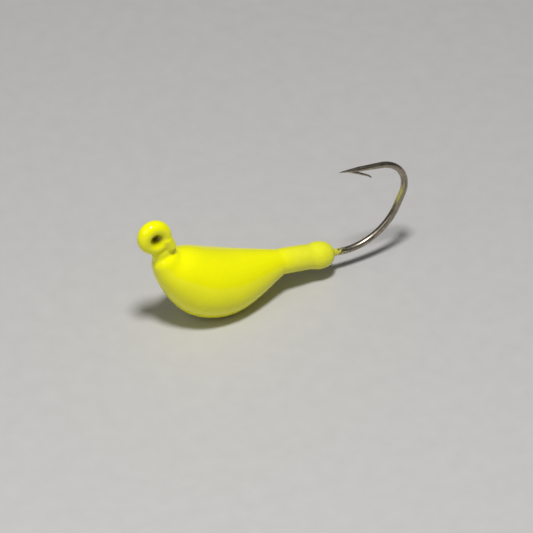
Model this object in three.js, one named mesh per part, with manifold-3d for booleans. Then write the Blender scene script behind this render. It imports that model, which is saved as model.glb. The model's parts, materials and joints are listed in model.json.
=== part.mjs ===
// Jig head: a lead head cast round a bent jig hook and dipped in bright paint.
// Millimetres, +Z up. The head stands on a small flat under its belly and the origin is the middle of
// that flat. +X runs towards the tail and the bend of the hook, and the hook lies in the plane Y = 0.
import * as THREE from 'three';
import { mergeVertices } from 'three/addons/utils/BufferGeometryUtils.js';
import Module from 'manifold-3d';

const wasm = await Module();
wasm.setup();

// Driving dimensions
const WIRE_RADIUS = 0.65;          // hook wire, 1.3 mm
const COAT = 0.4;                  // thickness of the paint
const GAP = 0.2;                   // air between a piece and the piece inside it
const BORE_GAP = 0.3;              // air round the wire where it runs through lead and paint

const SHANK_HEADING = -10.2;       // degrees, the shank runs down towards the tail
const NECK_HEADING = -61;          // degrees, from the eye down into the head
const EYE_CENTRE = [-13.05, 21.0]; // x, z
const EYE_RADIUS = 1.6;            // wire centre line of the eye loop
const EYE_HOLE_RADIUS = 0.5;       // what the paint leaves open in the eye
const WIRE_END_RUN = 1.6;          // the cut end of the wire runs down beside the neck
const WIRE_END_LEAN = 7;           // degrees, and leans in to it

const POINT_LENGTH = 4.8;          // ground taper at the end of the wire
const BARB_LENGTH = 5.2;
const BARB_HEADING = -33;          // degrees, back from the point and into the gape

// A ball rolls along the middle of the head: x, z and radius at each station, from the nose to the keeper.
const HEAD_STATIONS = [
  [-10.6, 14.4, 2.85],
  [-9.9, 13.3, 3.3],
  [-9.0, 12.4, 3.9],
  [-7.1, 10.8, 5.1],
  [-3.2, 7.2, 6.5],
  [0.5, 6.0, 6.3],
  [4.5, 5.9, 5.1],
  [9.0, 6.2, 3.5],
  [12.2, 6.35, 2.65],
  [13.4, 6.3, 2.5],
  [16.0, 5.8, 2.42],
  [18.6, 5.3, 2.36],
  [20.0, 5.07, 2.62],
  [20.85, 4.9, 2.53],
];
// A slimmer one carries the casting from the nose up to the eye. The neck is flatter than it is wide.
const NECK_STATIONS = [
  [-11.3, 17.15, 2.3],
  [-10.9, 16.1, 2.4],
  [-10.55, 15.3, 2.4],
];
const NECK_NARROWING = 0.45;       // what each side of the neck lacks across the jig

// Fineness
const AROUND = 40;                 // flats round the head
const PER_STATION = 3;             // rings from one station to the next
const CAP_RINGS = 4;               // rings over each round end
const WIRE_SIDES = 14;
const ARC_STEP = 13;               // degrees of bend in one length of wire

const radians = THREE.MathUtils.degToRad;

// ---- joins and cuts ----

function toSolid(geometry) {
  const bare = geometry.clone();
  bare.deleteAttribute('normal');
  bare.deleteAttribute('uv');
  const merged = mergeVertices(bare, 1e-5);
  const index = merged.index.array;
  const triVerts = [];
  for (let i = 0; i < index.length; i += 3) {
    const [a, b, c] = index.slice(i, i + 3);
    if (a !== b && b !== c && c !== a) triVerts.push(a, b, c);
  }
  return new wasm.Manifold(new wasm.Mesh({
    numProp: 3,
    vertProperties: Float32Array.from(merged.attributes.position.array),
    triVerts: Uint32Array.from(triVerts),
  }));
}

function toGeometry(solid) {
  const mesh = solid.getMesh();
  const geometry = new THREE.BufferGeometry();
  geometry.setAttribute('position', new THREE.BufferAttribute(mesh.vertProperties, 3));
  geometry.setIndex(new THREE.BufferAttribute(mesh.triVerts, 1));
  geometry.computeVertexNormals();
  return geometry;
}

// ---- bent wire ----

// Follows a wire in the plane Y = 0: each move is a straight run, or an arc with a turn in degrees,
// left when positive. Returns the points and where the wire ends.
function bendWire(start, startHeading, moves) {
  const point = new THREE.Vector3(start[0], 0, start[1]);
  const points = [point.clone()];
  let heading = startHeading;
  const step = (length) => {
    point.x += length * Math.cos(radians(heading));
    point.z += length * Math.sin(radians(heading));
    points.push(point.clone());
  };
  for (const { run, radius, turn } of moves) {
    if (run) {
      step(run);
      continue;
    }
    const count = Math.ceil(Math.abs(turn) / ARC_STEP);
    const part = turn / count;
    for (let i = 0; i < count; i += 1) {
      heading += part / 2;
      step(2 * radius * Math.sin(radians(Math.abs(part) / 2)));
      heading += part / 2;
    }
  }
  return { points, end: point, heading };
}

// Its steps fall on its own points, so tight bends get more of them than straight wire.
class WireCurve extends THREE.CatmullRomCurve3 {
  getUtoTmapping(u) {
    return u;
  }
}

function wire(points, radius) {
  const section = new THREE.Shape().absarc(0, 0, radius, 0, 2 * Math.PI);
  return toSolid(new THREE.ExtrudeGeometry(section, {
    steps: points.length - 1,
    curveSegments: WIRE_SIDES / 2,
    extrudePath: new WireCurve(points, false, 'centripetal'),
    bevelEnabled: false,
  }));
}

// A cone with its base at a point of the plane Y = 0, pointing along a heading.
function spike(x, z, heading, length, radius, tipRadius) {
  const cone = new THREE.CylinderGeometry(tipRadius, radius, length, WIRE_SIDES);
  cone.translate(0, length / 2, 0);
  cone.rotateX(Math.PI / 2);
  cone.rotateY(radians(90 - heading));
  cone.translate(x, 0, z);
  return toSolid(cone);
}

// The hook, bent from one wire: the cut end beside the neck, the eye loop with its closing kink, the
// neck, the bend inside the head, the shank, and the wide and the tight part of the bend, up to where
// the point is ground. The extra length, before the cut end, is for the bore that clears it.
function routeHook(extra) {
  const down = radians(NECK_HEADING - WIRE_END_LEAN);
  const start = [
    EYE_CENTRE[0] - EYE_RADIUS * Math.sin(down) + (WIRE_END_RUN + extra) * Math.cos(down),
    EYE_CENTRE[1] + EYE_RADIUS * Math.cos(down) + (WIRE_END_RUN + extra) * Math.sin(down),
  ];
  return bendWire(start, NECK_HEADING - WIRE_END_LEAN + 180, [
    { run: WIRE_END_RUN + extra },
    { radius: EYE_RADIUS, turn: 225 + WIRE_END_LEAN },
    { run: 1.15 },
    { radius: 1.0, turn: -45 },
    { run: 8.05 },
    { radius: 4.0, turn: SHANK_HEADING - NECK_HEADING },
    { run: 30.1 },
    { radius: 10.95, turn: 76.4 },
    { run: 2.7 },
    { radius: 5.8, turn: 105.4 },
    { run: 3.9 },
  ]);
}

function makeHook() {
  const { points, end, heading } = routeHook(0);
  const back = radians(heading);
  const point = spike(
    end.x - 0.3 * Math.cos(back), end.z - 0.3 * Math.sin(back),
    heading, POINT_LENGTH + 0.3, 0.62, 0.08,
  );
  const root = { x: end.x + 2.9 * Math.cos(back), z: end.z + 2.9 * Math.sin(back) };
  const barb = spike(root.x, root.z, BARB_HEADING, BARB_LENGTH, 0.3, 0.1);
  return wire(points, WIRE_RADIUS).add(point).add(barb);
}

const wireBore = wire(routeHook(BORE_GAP).points, WIRE_RADIUS + BORE_GAP);

// ---- head ----

// The skin of a ball that rolls along its stations, with round ends. An inset draws the skin in.
function rolledSkin(stations, inset) {
  const path = new THREE.CatmullRomCurve3(
    stations.map(([x, z, r]) => new THREE.Vector3(x, r - inset, z)),
  );
  const count = (stations.length - 1) * PER_STATION;
  const rings = [];
  for (let i = 0; i <= count; i += 1) {
    const t = i / count;
    const ball = path.getPoint(t);
    const before = path.getPoint(Math.max(t - 0.004, 0));
    const after = path.getPoint(Math.min(t + 0.004, 1));
    const way = Math.hypot(after.x - before.x, after.z - before.z);
    const along = new THREE.Vector3((after.x - before.x) / way, 0, (after.z - before.z) / way);
    const growth = (after.y - before.y) / way;
    const touch = Math.acos(growth);
    let angles = [touch];
    if (i === 0) angles = Array.from({ length: CAP_RINGS + 1 }, (_, k) => (touch * k) / CAP_RINGS);
    if (i === count) {
      angles = Array.from({ length: CAP_RINGS + 1 }, (_, k) => touch + ((Math.PI - touch) * k) / CAP_RINGS);
    }
    for (const angle of angles) {
      rings.push({
        along,
        radius: angle === 0 || angle === Math.PI ? 0 : ball.y * Math.sin(angle),
        centre: new THREE.Vector3(ball.x, 0, ball.z).addScaledVector(along, -ball.y * Math.cos(angle)),
      });
    }
  }

  const lathe = new THREE.LatheGeometry(
    rings.map((ring, j) => new THREE.Vector2(ring.radius, j)),
    AROUND,
  );
  const position = lathe.attributes.position;
  const vertex = new THREE.Vector3();
  for (let k = 0; k < position.count; k += 1) {
    const { along, centre } = rings[k % rings.length];
    const up = new THREE.Vector3(-along.z, 0, along.x);
    vertex.copy(centre).addScaledVector(up, position.getX(k));
    vertex.y += position.getZ(k);
    position.setXYZ(k, vertex.x, vertex.y, vertex.z);
  }
  return toSolid(lathe);
}

function headSkin(inset) {
  const widest = Math.max(...NECK_STATIONS.map(([, , r]) => r)) - inset;
  const neck = rolledSkin(NECK_STATIONS, inset).scale([1, (widest - NECK_NARROWING) / widest, 1]);
  return rolledSkin(HEAD_STATIONS, inset).add(neck);
}

function makeLead() {
  return headSkin(COAT + GAP).subtract(wireBore);
}

// The coat over the casting, with the resting flat under its belly and a hole at each end for the wire.
function makeHeadCoat() {
  const ground = new THREE.BoxGeometry(60, 30, 10);
  ground.translate(0, 0, -5);
  return headSkin(0).subtract(headSkin(COAT)).subtract(wireBore).subtract(toSolid(ground));
}

// ---- paint on the eye ----

// Stands a shape made round the Z axis in the eye: its axis across the jig, its own Y along the neck.
function placeInEye(geometry) {
  geometry.rotateX(Math.PI / 2);
  geometry.rotateY(radians(-90 - NECK_HEADING));
  geometry.translate(EYE_CENTRE[0], 0, EYE_CENTRE[1]);
  return toSolid(geometry);
}

// A thick ring of paint round the loop, a web that closes most of it, a small hole left for the line,
// and a sleeve over the cut end of the wire.
function makeEyeCoat() {
  const ring = new THREE.TorusGeometry(EYE_RADIUS + 0.1, EYE_RADIUS - 0.15, 14, 28);
  ring.scale(1, 1.15, 0.95);
  const web = new THREE.CylinderGeometry(1.3, 1.3, 1.1, 24).rotateX(Math.PI / 2);
  const sleeve = new THREE.CapsuleGeometry(1.2, 2.7, 5, 20);
  sleeve.rotateZ(radians(-WIRE_END_LEAN)).translate(EYE_RADIUS - 0.15, -2.0, 0);
  const hole = new THREE.CylinderGeometry(EYE_HOLE_RADIUS, EYE_HOLE_RADIUS, 8, 16).rotateX(Math.PI / 2);
  return placeInEye(ring)
    .add(placeInEye(web))
    .add(placeInEye(sleeve))
    .subtract(placeInEye(hole))
    .subtract(headSkin(-GAP))
    .subtract(wireBore);
}

// ---- assembly ----

const paint = () => new THREE.MeshStandardMaterial({ color: 0xe6ea00, roughness: 0.22, metalness: 0 });
const lead = () => new THREE.MeshStandardMaterial({ color: 0x6c6f73, roughness: 0.6, metalness: 0.8 });
const steel = () => new THREE.MeshStandardMaterial({ color: 0x9a8f7c, roughness: 0.35, metalness: 1 });

function piece(name, solid, material) {
  const mesh = new THREE.Mesh(toGeometry(solid), material);
  mesh.name = name;
  return mesh;
}

const jigHead = new THREE.Group();
jigHead.add(
  piece('hook', makeHook(), steel()),
  piece('lead_head', makeLead(), lead()),
  piece('head_coat', makeHeadCoat(), paint()),
  piece('eye_coat', makeEyeCoat(), paint()),
);

export default jigHead;
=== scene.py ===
import json
import math

import bpy
from mathutils import Matrix, Vector, kdtree


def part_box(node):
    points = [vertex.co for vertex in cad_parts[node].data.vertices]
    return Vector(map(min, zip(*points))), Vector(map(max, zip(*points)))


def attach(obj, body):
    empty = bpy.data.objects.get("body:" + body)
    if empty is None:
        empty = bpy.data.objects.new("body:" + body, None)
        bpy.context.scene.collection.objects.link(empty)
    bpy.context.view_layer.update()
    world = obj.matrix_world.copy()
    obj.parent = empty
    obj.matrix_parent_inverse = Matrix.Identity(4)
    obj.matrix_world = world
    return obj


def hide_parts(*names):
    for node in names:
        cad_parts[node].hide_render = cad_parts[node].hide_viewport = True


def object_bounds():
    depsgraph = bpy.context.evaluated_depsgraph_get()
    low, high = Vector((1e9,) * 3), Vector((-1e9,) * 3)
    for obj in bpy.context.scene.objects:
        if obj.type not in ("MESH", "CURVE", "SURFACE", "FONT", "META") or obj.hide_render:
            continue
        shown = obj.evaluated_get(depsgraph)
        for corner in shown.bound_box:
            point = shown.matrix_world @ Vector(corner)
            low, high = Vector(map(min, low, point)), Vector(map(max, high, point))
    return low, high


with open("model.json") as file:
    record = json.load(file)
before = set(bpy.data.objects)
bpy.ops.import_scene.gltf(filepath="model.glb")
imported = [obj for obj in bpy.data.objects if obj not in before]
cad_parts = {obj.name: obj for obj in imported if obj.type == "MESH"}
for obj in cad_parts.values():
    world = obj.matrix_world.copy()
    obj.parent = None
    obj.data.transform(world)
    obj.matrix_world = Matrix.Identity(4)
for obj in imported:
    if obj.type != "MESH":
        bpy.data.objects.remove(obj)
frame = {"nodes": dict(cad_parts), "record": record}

cad_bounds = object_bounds()


# The hook. One high-carbon steel wire, bent into the ring eye, the neck, the shank and the bend,
# pressed flat at the sides of the bend, ground to a needle point, with one barb lifted from the wire.
# The lead is cast round its neck and shank, and only the bend stands out of the collar.

# Places and sizes are in metres, and MM is one millimetre.
MM = 0.001
mounts = {mount["name"]: mount for mount in frame["record"]["mounts"]}
hook_low, hook_high = (Vector(corner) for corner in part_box("hook"))
wire_radius = (hook_high.y - hook_low.y) / 2
wire_sides = 24
eye_middle = Vector(mounts["line_tie"]["pos_m"])
eye_loop_radius = 2.46 * wire_radius

# Headings and turns are in degrees, up from +X, the way the tail points. Each bend is given by its
# radius to the middle of the wire, in the order in which the wire comes to it from the eye.
neck_heading = -61.0
wire_end_heading = neck_heading - 7.0
wire_end_run = 1.6 * MM
eye_exit_run = 1.15 * MM
eye_exit_bend = 1.0 * MM
eye_exit_turn = -45
neck_run = 8.05 * MM
nose_bend = 4.0 * MM
shank_heading = -10.2
shank_run = 30.1 * MM
wide_bend = 10.95 * MM
wide_bend_turn = 76.4
side_run = 2.7 * MM
tight_bend = 5.8 * MM
tight_bend_turn = 105.4
front_run = 4.0 * MM
point_run = 4.7 * MM
point_steps = 10
point_tip_radius = 0.05 * MM

# How much the wire is swollen round the wide bend and drawn thin from there to the point, as
# shares of its radius, and what is left of it where the point begins.
bend_swell = 0.03
bend_thinning = 0.13
point_root_share = 0.72


def pick_nothing():
    bpy.ops.object.select_all(action="DESELECT")


def settle(piece, name):
    """Leaves the piece named, alone in the selection, and with its place in its mesh."""
    pick_nothing()
    piece.select_set(True)
    bpy.context.view_layer.objects.active = piece
    bpy.ops.object.transform_apply(location=True, rotation=True, scale=True)
    piece.name = piece.data.name = name
    return piece


def toward(heading):
    """The unit vector at a heading in the plane of the hook."""
    return Vector((math.cos(math.radians(heading)), 0, math.sin(math.radians(heading))))


class Bar:
    """A bar pushed out of its own end face in the plane Y = 0, turning and swelling on the way."""

    def __init__(self, place, heading, radius, sides):
        pick_nothing()
        turned = (0, math.radians(90 - heading), 0)
        bpy.ops.mesh.primitive_circle_add(
            vertices=sides, radius=radius, fill_type="NGON", location=place, rotation=turned
        )
        bpy.ops.object.transform_apply(location=True, rotation=True, scale=True)
        self.piece = bpy.context.object
        self.place = Vector(place)
        self.heading = heading
        self.radius = radius
        self.route = [(self.place.copy(), heading)]
        bpy.ops.object.mode_set(mode="EDIT")

    def ahead(self):
        return toward(self.heading)

    def push(self, step, turn=0.0, radius=None):
        """Extrudes by a vector, turns the new end face and brings it to a radius."""
        bpy.ops.mesh.extrude_region_move(TRANSFORM_OT_translate={"value": step})
        self.place += step
        if turn:
            bpy.ops.transform.rotate(
                value=math.radians(turn), orient_axis="Y", center_override=self.place
            )
            self.heading += turn
        if radius is not None:
            grow = radius / self.radius
            bpy.ops.transform.resize(value=(grow, grow, grow), center_override=self.place)
            self.radius *= grow
        self.route.append((self.place.copy(), self.heading))

    def run(self, length, steps=1, radius=None):
        """A straight length, tapering evenly to the radius if one is given."""
        start = self.radius
        for k in range(1, steps + 1):
            new = None if radius is None else start + (radius - start) * k / steps
            self.push(self.ahead() * (length / steps), radius=new)

    def bend(self, radius, turn, steps, swell=None):
        """An arc. swell gives the wire's radius at each share of the way round."""
        part = turn / steps
        chord = 2 * radius * math.sin(math.radians(abs(part) / 2))
        for k in range(1, steps + 1):
            step = toward(self.heading + part / 2) * chord
            self.push(step, turn=part, radius=swell(k / steps) if swell else None)

    def finish(self, name):
        bpy.ops.object.mode_set(mode="OBJECT")
        return settle(self.piece, name)


def ease(share):
    """Runs from 0 to 1 with the share, slowly at both ends."""
    return share * share * (3 - 2 * share)


down_neck = toward(neck_heading)
beside_neck = toward(neck_heading + 90)
loop_foot = eye_middle + eye_loop_radius * toward(wire_end_heading + 90)
wire_end = loop_foot + wire_end_run * toward(wire_end_heading)
wire = Bar(wire_end, wire_end_heading + 180, wire_radius, wire_sides)
wire.run(wire_end_run, steps=2)
wire.bend(eye_loop_radius, 180 - eye_exit_turn + neck_heading - wire_end_heading, 26)
wire.run(eye_exit_run)
wire.bend(eye_exit_bend, eye_exit_turn, 5)
wire.run(neck_run, steps=2)
wire.bend(nose_bend, shank_heading - neck_heading, 6)
wire.run(shank_run, steps=12)
wire.bend(
    wide_bend, wide_bend_turn, 24, lambda share: wire_radius * (1 + bend_swell * ease(share))
)
wire.run(side_run, steps=3, radius=(1 + bend_swell) * wire_radius)
inner_bend_streak_number = len(wire.route) - 1
wire.bend(
    tight_bend,
    tight_bend_turn,
    26,
    lambda share: wire_radius * (1 + bend_swell - bend_thinning * ease(share)),
)
wire.run(front_run, steps=6, radius=point_root_share * wire_radius)
point_start = wire.place.copy()
point_heading = wire.heading
for k in range(1, point_steps + 1):
    left = (1 - k / point_steps) ** 0.85
    width = point_root_share * wire_radius * left + point_tip_radius
    wire.push(wire.ahead() * (point_run / point_steps), radius=width)
hook = wire.finish("jig_hook")

pressed_half = 0.86 * wire_radius
forged_start = hook_high.x - 8.5 * MM
forged_foot = 5.6 * MM


def flatten_side(side):
    """Presses one side of the bend and of the leg flat, as the forging dies do."""
    bpy.ops.object.mode_set(mode="EDIT")
    bpy.ops.mesh.select_all(action="DESELECT")
    bpy.ops.object.mode_set(mode="OBJECT")
    for vertex in hook.data.vertices:
        outside = side * vertex.co.y > pressed_half
        forged = vertex.co.x > forged_start and vertex.co.z > forged_foot
        vertex.select = outside and forged
    bpy.ops.object.mode_set(mode="EDIT")
    bpy.ops.transform.resize(value=(1, 0, 1), center_override=(0, side * pressed_half, 0))
    bpy.ops.object.mode_set(mode="OBJECT")


flatten_side(1)
flatten_side(-1)

# The barb is a sliver lifted from the point. It leans away from the wire into the gape, is fattest
# half way along, thins towards its tip and curls there.
barb_from_point_root = 3.1 * MM
barb_length = 5.9 * MM
barb_steps = 14
barb_radius = 0.2 * MM
barb_fattening = 0.07 * MM
barb_thinning = 0.06 * MM
barb_heading = -27.0
barb_curl_start = 0.8
barb_root = point_start + barb_from_point_root * toward(point_heading)
barb = Bar(barb_root, barb_heading, barb_radius, 12)
for k in range(1, barb_steps + 1):
    share = k / barb_steps
    barb.push(
        barb.ahead() * (barb_length / barb_steps),
        turn=-0.5 if share < barb_curl_start else -9.0,
        radius=barb_radius + barb_fattening * math.sin(math.pi * share) - barb_thinning * share,
    )
barb_piece = barb.finish("barb")
pick_nothing()
barb_piece.select_set(True)
hook.select_set(True)
bpy.context.view_layer.objects.active = hook
weld = hook.modifiers.new("barb", "BOOLEAN")
weld.operation = "UNION"
weld.object = barb_piece
weld.solver = "EXACT"
bpy.ops.object.modifier_apply(modifier=weld.name)
bpy.data.objects.remove(barb_piece)
hook = settle(hook, "jig_hook")
bpy.ops.object.shade_smooth_by_angle(angle=math.radians(40))

# Where each point of the surface lies on the straight wire before bending, so that the drawing
# marks can follow the wire round the bend: along it, across it and up from its middle.
lengths = [0.0]
for (here, _), (there, _) in zip(wire.route, wire.route[1:]):
    lengths.append(lengths[-1] + (there - here).length)
tree = kdtree.KDTree(len(wire.route))
for number, (place, _) in enumerate(wire.route):
    tree.insert(place, number)
tree.balance()
straight = hook.data.attributes.new("straight_wire", "FLOAT_VECTOR", "POINT")
for vertex in hook.data.vertices:
    middle, number, _ = tree.find(Vector((vertex.co.x, 0, vertex.co.z)))
    ahead = toward(wire.route[number][1])
    up = toward(wire.route[number][1] + 90)
    offset = vertex.co - middle
    straight.data[vertex.index].vector = (
        (lengths[number] + offset.dot(ahead)) / MM,
        vertex.co.y / MM,
        offset.dot(up) / MM,
    )


class Signal:
    """A socket's value, so that shader maths can be written as a sum."""

    def __init__(self, finish, socket):
        self.finish = finish
        self.socket = socket

    def maths(self, operation, first, second=0.0):
        return self.finish.node("ShaderNodeMath", {"operation": operation}, {0: first, 1: second})

    def __add__(self, other):
        return self.maths("ADD", self, other)

    def __sub__(self, other):
        return self.maths("SUBTRACT", self, other)

    def __mul__(self, other):
        return self.maths("MULTIPLY", self, other)

    def __radd__(self, other):
        return self.maths("ADD", other, self)

    def __rsub__(self, other):
        return self.maths("SUBTRACT", other, self)

    def __rmul__(self, other):
        return self.maths("MULTIPLY", other, self)

    def unsigned(self):
        return self.maths("ABSOLUTE", self)

    def or_greater(self, other):
        return self.maths("MAXIMUM", self, other)


class Finish:
    """A material being put together on one Principled shader."""

    def __init__(self, name, **constants):
        self.material = bpy.data.materials.new(name)
        self.material.use_nodes = True
        self.shader = self.material.node_tree.nodes["Principled BSDF"]
        for socket, value in constants.items():
            self.shader.inputs[socket.replace("_", " ")].default_value = value

    def node(self, kind, settings=None, inputs=None, output=0):
        """Adds a node with its settings and its sockets' values or links, and gives one output."""
        made = self.material.node_tree.nodes.new(kind)
        for name, value in (settings or {}).items():
            setattr(made, name, value)
        for key, value in (inputs or {}).items():
            if isinstance(value, Signal):
                self.material.node_tree.links.new(value.socket, made.inputs[key])
            else:
                made.inputs[key].default_value = value
        return Signal(self, made.outputs[output])

    def drive(self, **signals):
        """Links signals to the shader's sockets; an underscore stands for a space in the name."""
        for socket, signal in signals.items():
            self.material.node_tree.links.new(
                signal.socket, self.shader.inputs[socket.replace("_", " ")]
            )

    def place(self):
        return self.node("ShaderNodeTexCoord", output="Object")

    def axis(self, vector, name):
        return self.node("ShaderNodeSeparateXYZ", inputs={"Vector": vector}, output=name)

    def noise(self, vector, scale, detail=3.0, roughness=0.5):
        return self.node(
            "ShaderNodeTexNoise",
            inputs={"Vector": vector, "Scale": scale, "Detail": detail, "Roughness": roughness},
        )

    def band(self, signal, low, high):
        """0 below low, 1 above high, smooth between."""
        return self.node(
            "ShaderNodeMapRange",
            {"interpolation_type": "SMOOTHSTEP"},
            {"Value": signal, "From Min": low, "From Max": high},
        )

    def blend(self, share, first, second):
        """A colour between two; the mix node's sockets share their names, so they go by number."""
        return self.node(
            "ShaderNodeMix",
            {"data_type": "RGBA"},
            {
                0: share,
                6: first if isinstance(first, Signal) else (*first, 1),
                7: second if isinstance(second, Signal) else (*second, 1),
            },
            output=2,
        )

    def bump(self, height, distance, strength=1.0):
        return self.node(
            "ShaderNodeBump", inputs={"Height": height, "Distance": distance, "Strength": strength}
        )


steel = Finish("bronzed_steel_wire", Coat_Weight=0.7, Coat_Roughness=0.28)
on_wire = steel.node("ShaderNodeAttribute", {"attribute_name": "straight_wire"}, output="Vector")
drawn = steel.node("ShaderNodeMapping", inputs={"Vector": on_wire, "Scale": (0.10, 3.6, 3.6)})
blotched = steel.node("ShaderNodeMapping", inputs={"Vector": on_wire, "Scale": (0.9, 1.6, 1.6)})
streaks = steel.noise(drawn, 3.0, detail=5.0, roughness=0.65)
blotches = steel.noise(blotched, 1.1, detail=4.0, roughness=0.6)
worn = steel.band(blotches * 0.35 + streaks * 0.65, 0.36, 0.66)
tone = steel.blend(worn, (0.15, 0.118, 0.08), (0.50, 0.44, 0.345))

# Paint has splashed on the wire where it leaves the collar, and a thin yellow streak runs along the
# inner side of the bend. Lengths on the wire are in millimetres from its cut end.
along = steel.axis(on_wire, "X")
up_wire = steel.axis(on_wire, "Z")
yellow_mark_colour = (0.70, 0.67, 0.06)
splash_reach = 3.2
collar_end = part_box("head_coat")[1][0]
last = max(number for number, (place, _) in enumerate(wire.route) if place.x < collar_end)
beyond = (collar_end - wire.route[last][0].x) / math.cos(math.radians(shank_heading))
exit_length = (lengths[last] + beyond) / MM
inner_bend_streak_length = lengths[inner_bend_streak_number] / MM
specks = steel.noise(on_wire, 2.2, detail=3.0, roughness=0.7)
near_collar = 1 - steel.band(along, exit_length, exit_length + splash_reach)
splash = steel.band(specks * 0.9 + near_collar * 0.3, 0.59, 0.66) * steel.band(near_collar, 0.0, 0.1)
from_smear = (along - inner_bend_streak_length).unsigned()
# A thin yellow streak on the inner side of the wire, where the tight bend begins, at half the strength
# of the splash.
inner_bend_streak = (1 - steel.band(from_smear + specks * 2, 1.6, 3.6)) * steel.band(up_wire, 0.2, 0.55)
splash_and_streak = splash.or_greater(inner_bend_streak * 0.5)
steel.drive(
    Base_Color=steel.blend(splash_and_streak, tone, yellow_mark_colour),
    Metallic=1 - splash_and_streak * 0.9,
    Roughness=steel.band(streaks, 0.2, 0.9) * 0.26 + 0.2,
    Normal=steel.bump(streaks * 0.6 + splash_and_streak * 0.8, 0.05 * MM, 0.5),
)
hook.data.materials.append(steel.material)
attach(hook, "root")
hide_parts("hook")


# The casting. Lead poured round the hook in a split mould; it is dull grey with the mould's fine
# grain, and the paint covers all of it.

casting = frame["nodes"]["lead_head"]
lead = Finish("cast_lead", Metallic=0.85, Roughness=0.6)
grain = lead.noise(lead.place(), 900.0, detail=6.0)
lead.drive(
    Base_Color=lead.blend(grain, (0.20, 0.205, 0.22), (0.36, 0.365, 0.38)),
    Normal=lead.bump(grain, 0.05 * MM, 0.4),
)
casting.data.materials.clear()
casting.data.materials.append(lead.material)


# The paint coat. The whole head and its eye are dipped in thick vinyl paint, so the coat runs on
# from the eye over the nose, the belly, the collar and the keeper bulge, and rounds every corner.
# It is modelled as one skin, then parted at the neck into the coat of the head and that of the eye.

coat_low, coat_high = (Vector(corner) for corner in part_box("head_coat"))
coat_size = coat_high - coat_low
# Each station is a ball that the skin rolls over: where its middle lies as shares of the coat's
# length and height, and its radius as a share of the coat's half width.
head_stations = [
    (0.081, 0.741, 0.434),
    (0.100, 0.687, 0.511),
    (0.124, 0.638, 0.602),
    (0.176, 0.556, 0.777),
    (0.230, 0.458, 0.912),
    (0.290, 0.373, 0.994),
    (0.382, 0.311, 0.960),
    (0.491, 0.304, 0.777),
    (0.613, 0.319, 0.526),
    (0.686, 0.326, 0.384),
    (0.710, 0.326, 0.373),
    (0.802, 0.299, 0.369),
    (0.873, 0.273, 0.360),
    (0.911, 0.261, 0.399),
    (0.934, 0.252, 0.386),
]
neck_stations = [
    (0.062, 0.883, 0.351),
    (0.072, 0.829, 0.351),
    (0.080, 0.782, 0.312),
]


def in_coat(shares):
    """The stations at their places, each as a vector whose y holds the ball's radius."""
    return [
        Vector((coat_low.x + x * coat_size.x, r * coat_size.y / 2, coat_low.z + z * coat_size.z))
        for x, z, r in shares
]


def between(points, share):
    """The place on a smooth curve through the points, at a share of the way along their list."""
    spot = min(max(share, 0.0), 1.0) * (len(points) - 1)
    first = min(int(spot), len(points) - 2)
    t = spot - first
    p1, p2 = points[first], points[first + 1]
    p0 = points[first - 1] if first else 2 * p1 - p2
    p3 = points[first + 2] if first + 2 < len(points) else 2 * p2 - p1
    square = (2 * p0 - 5 * p1 + 4 * p2 - p3) * t**2
    cube = (3 * p1 - p0 - 3 * p2 + p3) * t**3
    return 0.5 * (2 * p1 + (p2 - p0) * t + square + cube)


def rings_round(points, per_station, cap_steps):
    """Middle, heading and radius of each ring where the rolling ball touches its skin."""
    count = (len(points) - 1) * per_station
    rings = []
    for number in range(count + 1):
        share = number / count
        ball = between(points, share)
        ahead = between(points, share + 0.003) - between(points, share - 0.003)
        way = math.hypot(ahead.x, ahead.z)
        heading = math.degrees(math.atan2(ahead.z, ahead.x))
        touch = math.acos(ahead.y / way)
        angles = [touch]
        if number == 0:
            angles = [touch * k / cap_steps for k in range(1, cap_steps + 1)]
        if number == count:
            angles = [touch + (math.pi - touch) * k / cap_steps for k in range(cap_steps)]
        for angle in angles:
            offset = -ball.y * math.cos(angle)
            middle = Vector(
                (
                    ball.x + offset * math.cos(math.radians(heading)),
                    0,
                    ball.z + offset * math.sin(math.radians(heading)),
                )
            )
            rings.append((middle, heading, ball.y * math.sin(angle)))
    return rings


def roll_skin(shares, name):
    """A closed skin round the stations' balls, with a round cap at either end."""
    rings = rings_round(in_coat(shares), per_station=4, cap_steps=8)
    middle, heading, radius = rings[0]
    skin = Bar(middle, heading, radius, 64)
    for middle, heading, radius in rings[1:]:
        skin.push(middle - skin.place, turn=heading - skin.heading, radius=radius)
    return skin.finish(name)


def widen(piece, share):
    """Brings a piece to a share of its width across the jig."""
    settle(piece, piece.name)
    bpy.ops.object.mode_set(mode="EDIT")
    bpy.ops.mesh.select_all(action="SELECT")
    bpy.ops.transform.resize(value=(1, share, 1), center_override=(0, 0, 0))
    bpy.ops.object.mode_set(mode="OBJECT")


coat = roll_skin(head_stations, "paint")
neck = roll_skin(neck_stations, "neck")
widen(neck, 0.6)

# The painted ring eye: a fat ring, a little longer along the neck and thicker across the jig, and
# the web of paint that closes it up to a small hole. Both are made flat and then stood up.
ring_radius = 2.0 * MM
ring_half_thick = 1.26 * MM
ring_stretch = (1, 1.08, 1.15)
web_radius = 1.05 * MM
web_half_thick = 0.74 * MM
pick_nothing()
bpy.ops.mesh.primitive_torus_add(
    major_radius=ring_radius,
    minor_radius=ring_half_thick,
    major_segments=72,
    minor_segments=36,
    location=(0, 0, 0),
)
ring = bpy.context.object
bpy.ops.object.mode_set(mode="EDIT")
bpy.ops.transform.resize(value=ring_stretch, center_override=(0, 0, 0))
bpy.ops.mesh.primitive_torus_add(
    major_radius=web_radius,
    minor_radius=web_half_thick,
    major_segments=48,
    minor_segments=24,
    location=(0, 0, 0),
)
bpy.ops.object.mode_set(mode="OBJECT")
ring.matrix_world = (
    Matrix.Translation(eye_middle)
    @ Matrix.Rotation(math.radians(-90 - neck_heading), 4, "Y")
    @ Matrix.Rotation(math.radians(90), 4, "X")
)
ring = settle(ring, "ring")

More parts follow.
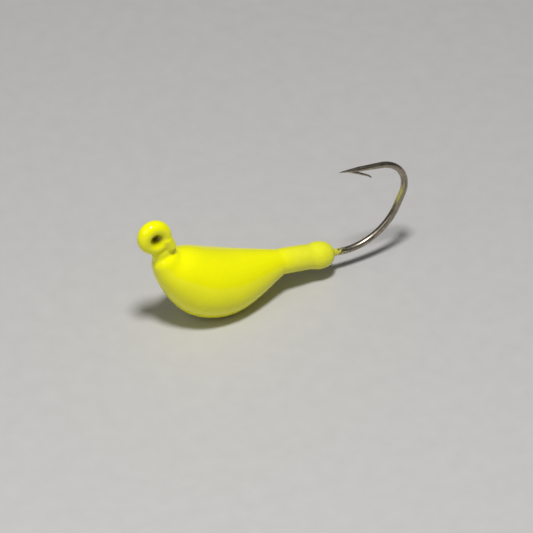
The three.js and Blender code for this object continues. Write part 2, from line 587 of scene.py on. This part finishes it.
# The cut end of the wire, where the eye closes against the neck, under the paint.
stub_aside = 1.55 * MM
stub_down = 0.9 * MM
stub_radius = 1.3 * MM
stub_start = eye_middle + stub_aside * beside_neck + stub_down * down_neck
stub = Bar(stub_start, wire_end_heading, 1.0 * MM, 40)
stub.run(0.6 * MM, steps=2, radius=stub_radius)
stub.run(2.5 * MM, steps=4)
stub_piece = stub.finish("stub")
widen(stub_piece, 1.3)

# A little paint has crept out along the wire at the end of the collar, and thins as it goes. Each
# stretch has its length and the radius that it ends with.
creep_inside = 0.9 * MM
creep_stretches = [(0.8 * MM, 0.98 * MM), (0.55 * MM, 0.74 * MM)]
creep_start = wire.route[last][0] + (beyond - creep_inside) * toward(shank_heading)
creep = Bar(creep_start, shank_heading, 1.5 * MM, 32)
for stretch, end_radius in creep_stretches:
    creep.run(stretch, steps=2, radius=end_radius)
creep_piece = creep.finish("creep")

pick_nothing()
for part in (neck, ring, stub_piece, creep_piece, coat):
    part.select_set(True)
bpy.context.view_layer.objects.active = coat
bpy.ops.object.join()
coat = settle(coat, "paint")


def apply(piece, kind, **settings):
    """Adds a modifier with its settings to a piece and applies it."""
    made = piece.modifiers.new(kind.lower(), kind)
    for name, value in settings.items():
        setattr(made, name, value)
    pick_nothing()
    piece.select_set(True)
    bpy.context.view_layer.objects.active = piece
    bpy.ops.object.modifier_apply(modifier=made.name)


# The parts flow into one skin, and the paint fills the crook where the neck meets the nose.
skin_grain = 0.14 * MM
crook_aside = 0.6 * MM
crook_reach = 3.0 * MM
apply(coat, "REMESH", mode="VOXEL", voxel_size=skin_grain, use_smooth_shade=True)
neck_group = coat.vertex_groups.new(name="neck")
crook = in_coat(neck_stations)[2] - crook_aside * beside_neck
for vertex in coat.data.vertices:
    reach = (vertex.co - Vector((crook.x, 0, crook.z))).length / crook_reach
    if reach < 1:
        neck_group.add([vertex.index], 1 - reach**2, "REPLACE")
apply(coat, "SMOOTH", factor=0.5, iterations=70, vertex_group="neck")
apply(coat, "SMOOTH", factor=0.5, iterations=10)
coat.vertex_groups.clear()


def cut_off(piece, place, way):
    """Cuts off all of a piece that lies on the way's side of a place, and closes the cut."""
    pick_nothing()
    piece.select_set(True)
    bpy.context.view_layer.objects.active = piece
    bpy.ops.object.mode_set(mode="EDIT")
    bpy.ops.mesh.select_all(action="SELECT")
    bpy.ops.mesh.bisect(
        plane_co=place, plane_no=way, use_fill=True, clear_outer=True, threshold=0.001 * MM
    )
    bpy.ops.object.mode_set(mode="OBJECT")


# The skin is parted across the neck, and the belly has a small flat that the head stands on.
eye_to_joint = 2.9 * MM
neck_joint = eye_middle + eye_to_joint * down_neck
eye_paint = coat.copy()
eye_paint.data = coat.data.copy()
bpy.context.collection.objects.link(eye_paint)
cut_off(eye_paint, neck_joint, down_neck)
cut_off(coat, neck_joint, -down_neck)
cut_off(coat, (0, 0, 0), (0, 0, -1))
coat = settle(coat, "head_paint")
bpy.ops.object.shade_smooth_by_angle(angle=math.radians(50))
eye_paint = settle(eye_paint, "eye_paint")
bpy.ops.object.shade_smooth_by_angle(angle=math.radians(50))

# Where the paint turns duller towards the tail, and how far from the eye's middle the painted shade of
# its funnel and hole fades.
collar_fade = [coat_low.x + share * coat_size.x for share in (0.66, 0.80)]
eye_shade_fade = (0.6 * MM, 1.9 * MM)


def chartreuse(name, peel):
    """Thick glossy fluorescent paint, duller on the collar, with painted shade darkening the eye's
    funnel and hole.

    peel is the depth in millimetres of the ripples in its surface.
    """
    paint = Finish(name, IOR=1.46)
    spot = paint.place()
    cloud = paint.noise(spot, 160.0, detail=2.0)
    mottle = paint.noise(spot, 900.0, detail=3.0)
    collar = paint.band(paint.axis(spot, "X"), *collar_fade)
    body_colour = paint.blend(cloud * 0.6 + mottle * 0.4, (0.90, 0.89, 0.0), (1.0, 0.98, 0.0))
    collar_colour = paint.blend(mottle, (0.78, 0.78, 0.015), (0.92, 0.90, 0.04))
    flat_spot = paint.node("ShaderNodeVectorMath", {"operation": "MULTIPLY"}, {0: spot, 1: (1, 0, 1)})
    from_hole = paint.node(
        "ShaderNodeVectorMath", {"operation": "DISTANCE"}, {0: flat_spot, 1: eye_middle}, output="Value"
    )
    # Painted shade: the paint turns dark olive within 0.6 to 1.9 mm of the eye's middle, standing in
    # for the shade in the eye's funnel and hole.
    eye_shade = 1 - paint.band(from_hole + mottle * (0.4 * MM), *eye_shade_fade)
    ripple = paint.noise(spot, 420.0, detail=1.0)
    fine = paint.noise(spot, 1500.0, detail=2.0)
    clean_colour = paint.blend(collar, body_colour, collar_colour)
    paint.drive(
        # The dark olive colour here is painted shade in the eye's funnel and hole.
        Base_Color=paint.blend(eye_shade, clean_colour, (0.22, 0.19, 0.0)),
        Roughness=collar * 0.05 + mottle * 0.06 + 0.11,
        Normal=paint.bump(ripple * (collar * 0.5 + 0.5) + fine * 0.15 * (collar + 0.2), peel * MM, 0.5),
    )
    return paint.material


coat.data.materials.clear()
coat.data.materials.append(chartreuse("head_chartreuse", 0.05))
eye_paint.data.materials.clear()
eye_paint.data.materials.append(chartreuse("eye_chartreuse", 0.04))
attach(coat, "root")
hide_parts("head_coat")
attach(eye_paint, "root")
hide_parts("eye_coat")


# The table top: a plain pale sheet with a faint grain.

length = cad_bounds[1][0] - cad_bounds[0][0]
pick_nothing()
bpy.ops.mesh.primitive_plane_add(size=60 * length, location=(0, 0, 0))
floor = bpy.context.object
floor.name = "floor"
pale = Finish("pale_table", Roughness=0.6)
flecks = pale.noise(pale.place(), 300.0, detail=6.0)
pale.drive(Base_Color=pale.blend(flecks, (0.50, 0.49, 0.475), (0.56, 0.55, 0.535)))
floor.data.materials.append(pale.material)


# Light: one lamp high above and a little to the front, a large soft sheet beside it, a dim room.

view_azimuth = math.radians(-27.5)
view_elevation = math.radians(38)
centre = (Vector(cad_bounds[0]) + Vector(cad_bounds[1])) / 2
front = Vector((math.sin(view_azimuth), -math.cos(view_azimuth), 0))


def lamp(name, way, distance, size, power):
    """A round soft lamp that faces the jig; distance and size are in lengths of the jig."""
    data = bpy.data.lights.new(name, "AREA")
    data.shape = "DISK"
    data.size = size * length
    data.energy = power * length**2
    light = bpy.data.objects.new(name, data)
    bpy.context.collection.objects.link(light)
    way = Vector(way).normalized()
    light.location = centre + way * distance * length
    light.rotation_euler = way.to_track_quat("Z", "Y").to_euler()


lamp("lamp", front * 0.3 + Vector((0, 0, 1)), 9, 1.7, 720)
lamp("soft_box", front * 0.5 + Vector((-0.9, 0, 0.9)), 8, 6, 90)

room = bpy.data.worlds.new("room")
bpy.context.scene.world = room
room.use_nodes = True
sky = room.node_tree.nodes["Background"]
sky.inputs["Color"].default_value = (0.80, 0.82, 0.85, 1)
sky.inputs["Strength"].default_value = 0.14
bpy.context.scene.view_settings.view_transform = "Standard"


# Camera: at the side of the jig and a little ahead of its nose, looking down on it from far off,
# with the jig a little above and to the right of the middle of the frame.

field = 1.762 * length
lift = 0.0948 * length
drift = 0.0264 * length
distance = 16 * length
back = front * math.cos(view_elevation) + Vector((0, 0, math.sin(view_elevation)))
right = Vector((math.cos(view_azimuth), math.sin(view_azimuth), 0))
above = back.cross(right)
aim = centre - above * lift - right * drift
camera_data = bpy.data.cameras.new("camera")
camera = bpy.data.objects.new("camera", camera_data)
bpy.context.collection.objects.link(camera)
camera.location = aim + back * distance
camera.rotation_euler = back.to_track_quat("Z", "Y").to_euler()
camera_data.sensor_width = 36
camera_data.lens = camera_data.sensor_width * distance / field
camera_data.clip_start = 0.01
camera_data.clip_end = 20
bpy.context.scene.camera = camera
